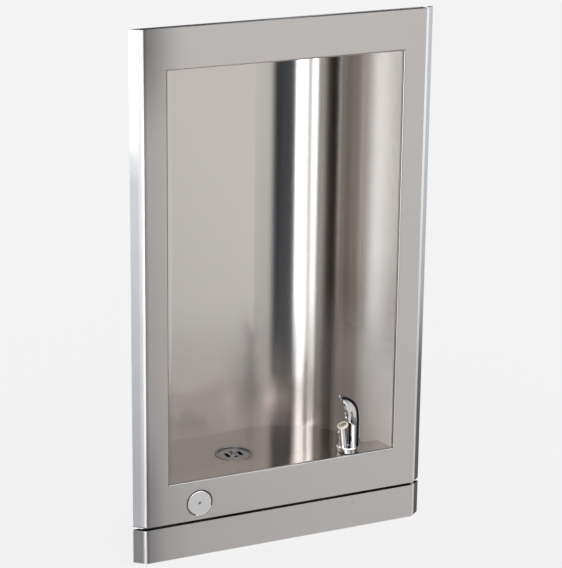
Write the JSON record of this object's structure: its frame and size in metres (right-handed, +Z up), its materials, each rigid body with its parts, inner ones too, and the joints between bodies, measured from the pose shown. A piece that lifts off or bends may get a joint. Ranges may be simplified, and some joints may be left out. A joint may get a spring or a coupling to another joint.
{
  "type": "recessed drinking fountain",
  "caption": "Recessed wall drinking fountain: stainless front and alcove, basin with strainer, hooded bubbler and push button with its valve.",
  "frame": {"origin": "middle of the lower panel's foot, on the plane of the finished wall", "axes": "+X to the right seen from the front, +Y into the wall, +Z up; the front faces -Y"},
  "size_m": [0.432, 0.1862, 0.727],
  "materials": {
    "satin_steel": "satin",
    "alcove_steel": "fine brushed, half bright",
    "chrome": "polished",
    "drain_steel": "satin",
    "button_steel": "fine satin",
    "galvanised": "zinc coated",
    "brass": "machined",
    "copper": "drawn copper tube",
    "rubber": "matt",
    "spring_steel": "bright wire",
    "cream_nozzle": "satin",
    "dark_screw": "black oxide"
  },
  "bodies": {
    "cabinet": {"front_frame": "satin_steel", "lower_panel": "satin_steel", "panel_clips": "galvanised", "panel_screws": "galvanised", "alcove_wall": "alcove_steel", "alcove_ceiling": "alcove_steel", "basin": "alcove_steel", "left_bracket": "galvanised", "right_bracket": "galvanised", "valve_bracket": "galvanised", "valve_body": "brass", "valve_locknut": "brass", "valve_cap": "brass", "inlet_tube": "copper", "outlet_tube": "copper", "tube_nuts": "brass", "stop_body": "brass", "stop_adapter": "brass", "stop_packing_nut": "brass", "bubbler_body": "chrome", "bubbler_nozzle": "cream_nozzle", "nozzle_screw": "chrome", "bubbler_gasket": "rubber", "bubbler_shank": "brass", "bubbler_washer": "galvanised", "bubbler_locknut": "brass", "drain_body": "chrome", "drain_strainer": "drain_steel", "strainer_screw": "drain_steel", "drain_gasket": "rubber", "drain_slip_ring": "drain_steel", "drain_locknut": "brass", "tail_washer": "rubber", "tailpiece": "chrome", "slip_nut": "chrome"},
    "button": {"push_button": "button_steel", "button_screw": "dark_screw", "button_spring": "spring_steel", "valve_stem": "brass", "valve_seal": "rubber", "seal_nut": "brass"},
    "stop": {"stop_stem": "spring_steel"}
  },
  "joints": [
    {"name": "button_press", "type": "slide", "parent": "cabinet", "child": "button", "axis": [0, 1, 0], "range_m": [0, 0.0035], "stiffness_N_per_m": 1500, "springref_m": -0.004, "deforming": ["button_spring"]},
    {"name": "stop_turn", "type": "hinge", "parent": "cabinet", "child": "stop", "pos_m": [0.04, 0.046, 0.024], "axis": [0, 1, 0], "range_deg": [0, 90]}
  ]
}
